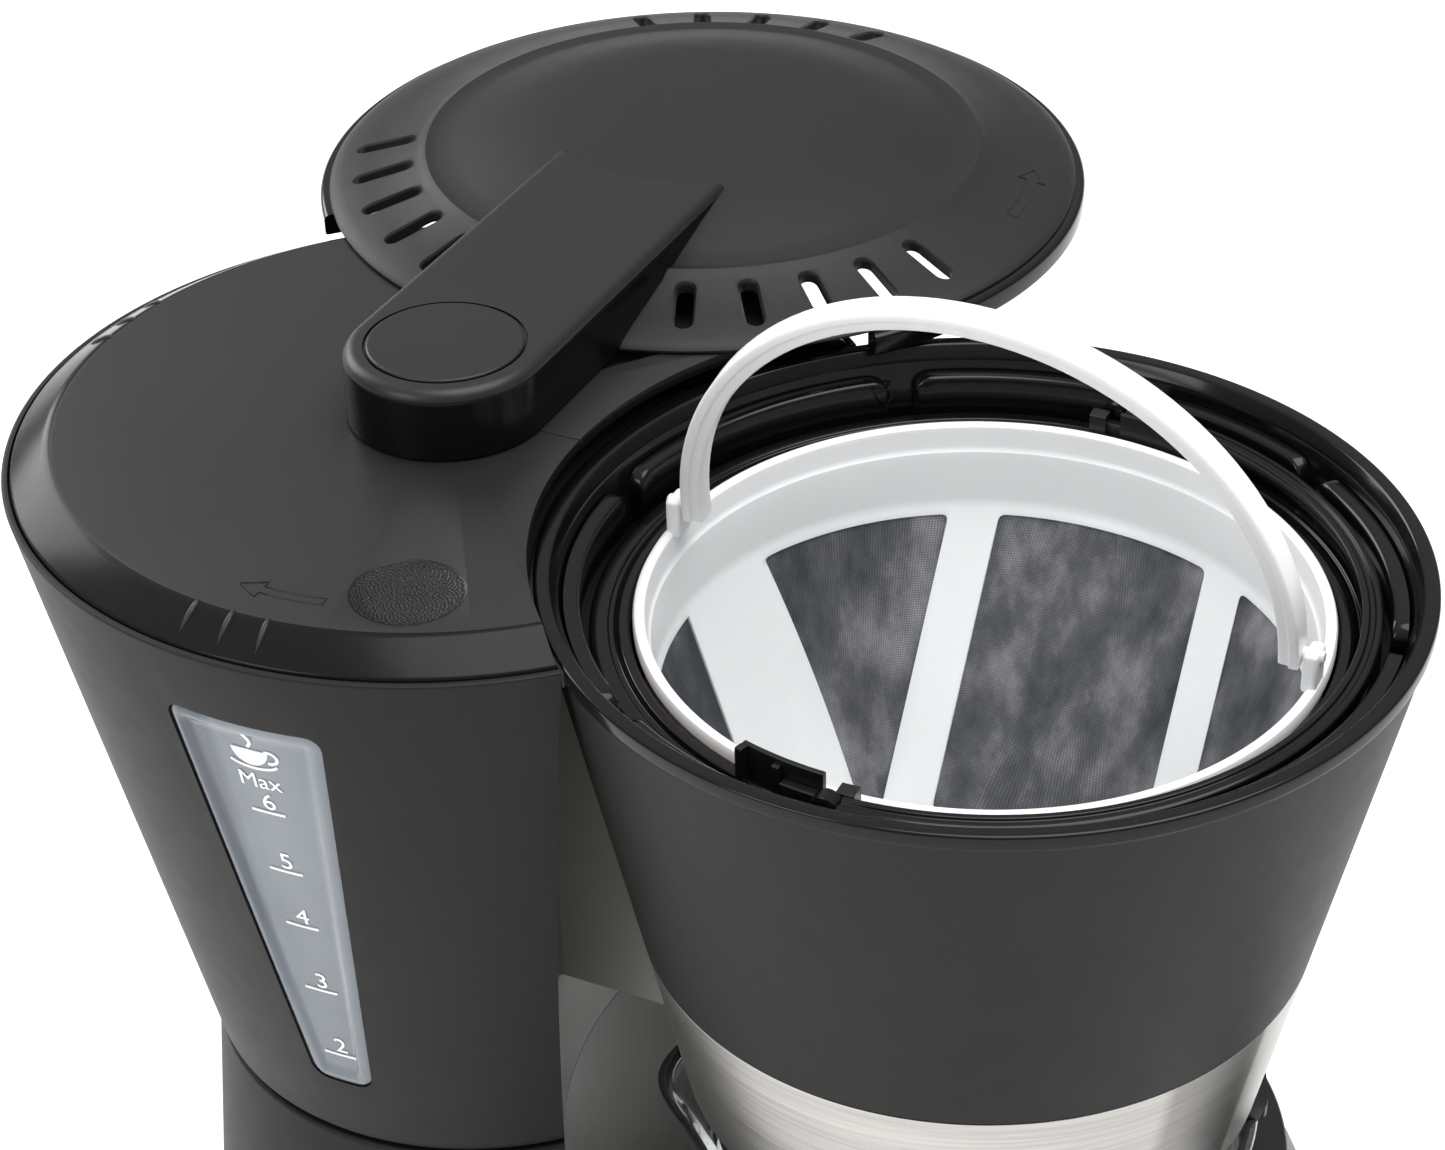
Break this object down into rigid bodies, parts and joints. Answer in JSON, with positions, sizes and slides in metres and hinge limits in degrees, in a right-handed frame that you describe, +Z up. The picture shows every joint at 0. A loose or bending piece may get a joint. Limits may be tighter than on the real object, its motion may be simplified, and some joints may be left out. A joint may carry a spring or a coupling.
{
  "type": "drip coffee maker",
  "caption": "Filter coffee machine with a rear water tank, swivel arm and round shower disc, open cone filter, and a glass jug on a hot plate.",
  "frame": {"origin": "on the table, under the middle of the whole machine's outline with the jug in place and the arm swung open", "axes": "+Z up; -Y is the front, where the filter housing, hot plate, switch and jug are; the water tank is towards +Y; the open arm reaches over +X"},
  "size_m": [0.2549, 0.2968, 0.33],
  "materials": {
    "body_plastic": "fine moulded grain, dark charcoal",
    "gloss_trim": "polished black",
    "inner_plastic": "satin black",
    "carafe_plastic": "satin black",
    "brushed_band": "brushed along its length",
    "plate_coating": "non-stick coating, fine speckle",
    "glass": "clear, polished",
    "level_window": "tinted translucent, with printed scale",
    "filter_white": "slightly translucent white",
    "filter_gauze": "fine nylon gauze, coffee stained",
    "foot_rubber": "matt",
    "silicone": "translucent",
    "duct_plastic": "natural",
    "screw_steel": "plated",
    "heater_alloy": "as cast",
    "terminal_brass": "plain",
    "control_cases": "plain",
    "lens_red": "clear red"
  },
  "bodies": {
    "machine": {"base_shell": "body_plastic", "base_cover": "inner_plastic", "rubber_feet": "foot_rubber", "base_screws": "screw_steel", "plate_seal": "silicone", "heating_plate": "plate_coating", "cord_gland": "inner_plastic", "terminal_block": "duct_plastic", "terminal_screws": "terminal_brass", "tower_housing": "body_plastic", "tank_shell": "body_plastic", "level_window": "level_window", "tank_deck": "gloss_trim", "deck_front": "body_plastic", "check_valve_body": "inner_plastic", "cold_hose": "silicone", "hot_hose": "silicone", "riser_tube": "duct_plastic", "riser_seal": "silicone", "filter_housing": "body_plastic", "steel_band": "brushed_band", "housing_liner": "inner_plastic", "housing_neck": "body_plastic", "rim_bridge": "gloss_trim", "switch_frame": "gloss_trim", "heater_casting": "heater_alloy", "heater_pipes": "screw_steel", "heater_spreader": "heater_alloy", "thermostat": "control_cases", "thermostat_bracket": "screw_steel", "thermal_fuses": "control_cases"},
    "arm": {"swivel_arm": "body_plastic", "pivot_cap": "gloss_trim", "disc_cover": "body_plastic", "disc_flange": "gloss_trim", "shower_head": "inner_plastic", "water_duct": "duct_plastic"},
    "lid": {"tank_lid": "body_plastic"},
    "basket": {"filter_basket": "inner_plastic", "valve_spring": "screw_steel"},
    "basket_handle": {"basket_bail": "inner_plastic"},
    "drip_valve": {"drip_plunger": "inner_plastic", "plunger_seal": "silicone"},
    "filter": {"filter_frame": "filter_white", "filter_mesh": "filter_gauze"},
    "filter_handle": {"filter_bail": "filter_white"},
    "carafe": {"carafe_glass": "glass", "carafe_band": "carafe_plastic", "carafe_handle": "carafe_plastic", "handle_screw": "screw_steel"},
    "carafe_cover": {"carafe_lid": "carafe_plastic"},
    "rocker": {"power_switch": "gloss_trim", "switch_lens": "lens_red"},
    "valve_ball": {"check_valve_ball": "duct_plastic"}
  },
  "joints": [
    {"name": "arm_swing", "type": "hinge", "parent": "machine", "child": "arm", "pos_m": [-0.04945, 0.07044, 0.29], "axis": [0, 0, 1], "range_deg": [-90, 0]},
    {"name": "tank_lid_turn", "type": "hinge", "parent": "machine", "child": "lid", "pos_m": [-0.04945, 0.07044, 0.28], "axis": [0, 0, 1], "range_deg": [-58, 0]},
    {"name": "basket_lift", "type": "slide", "parent": "machine", "child": "basket", "axis": [0, 0, 1], "range_m": [0, 0.13]},
    {"name": "basket_bail_swing", "type": "hinge", "parent": "basket", "child": "basket_handle", "pos_m": [-0.04945, -0.03096, 0.2716], "axis": [-1, 0, 0], "range_deg": [0, 180]},
    {"name": "drip_valve_drop", "type": "slide", "parent": "basket", "child": "drip_valve", "axis": [0, 0, 1], "range_m": [-0.003, 0], "deforming": ["valve_spring"]},
    {"name": "filter_lift", "type": "slide", "parent": "basket", "child": "filter", "axis": [0, 0, 1], "range_m": [0, 0.1]},
    {"name": "filter_bail_fold", "type": "hinge", "parent": "filter", "child": "filter_handle", "pos_m": [-0.04945, -0.03096, 0.2746], "axis": [0, -1, 0], "range_deg": [0, 104.4]},
    {"name": "carafe_slide", "type": "slide", "parent": "machine", "child": "carafe", "axis": [0.3584, -0.9336, 0], "range_m": [0, 0.2]},
    {"name": "carafe_lid_turn", "type": "hinge", "parent": "carafe", "child": "carafe_cover", "pos_m": [-0.04945, -0.03096, 0.16], "axis": [0, 0, 1], "range_deg": [0, 60]},
    {"name": "power_switch_tip", "type": "hinge", "parent": "machine", "child": "rocker", "pos_m": [-0.04945, -0.10636, 0.02], "axis": [1, 0, 0], "range_deg": [-16, 0]},
    {"name": "check_ball_lift", "type": "slide", "parent": "machine", "child": "valve_ball", "axis": [0, 0, 1], "range_m": [0, 0.0045]}
  ],
  "couplings": [
    {"joint": "filter_bail_fold", "follows": "arm_swing", "ratio": -1.16},
    {"joint": "drip_valve_drop", "follows": "carafe_slide", "ratio": -0.015}
  ]
}
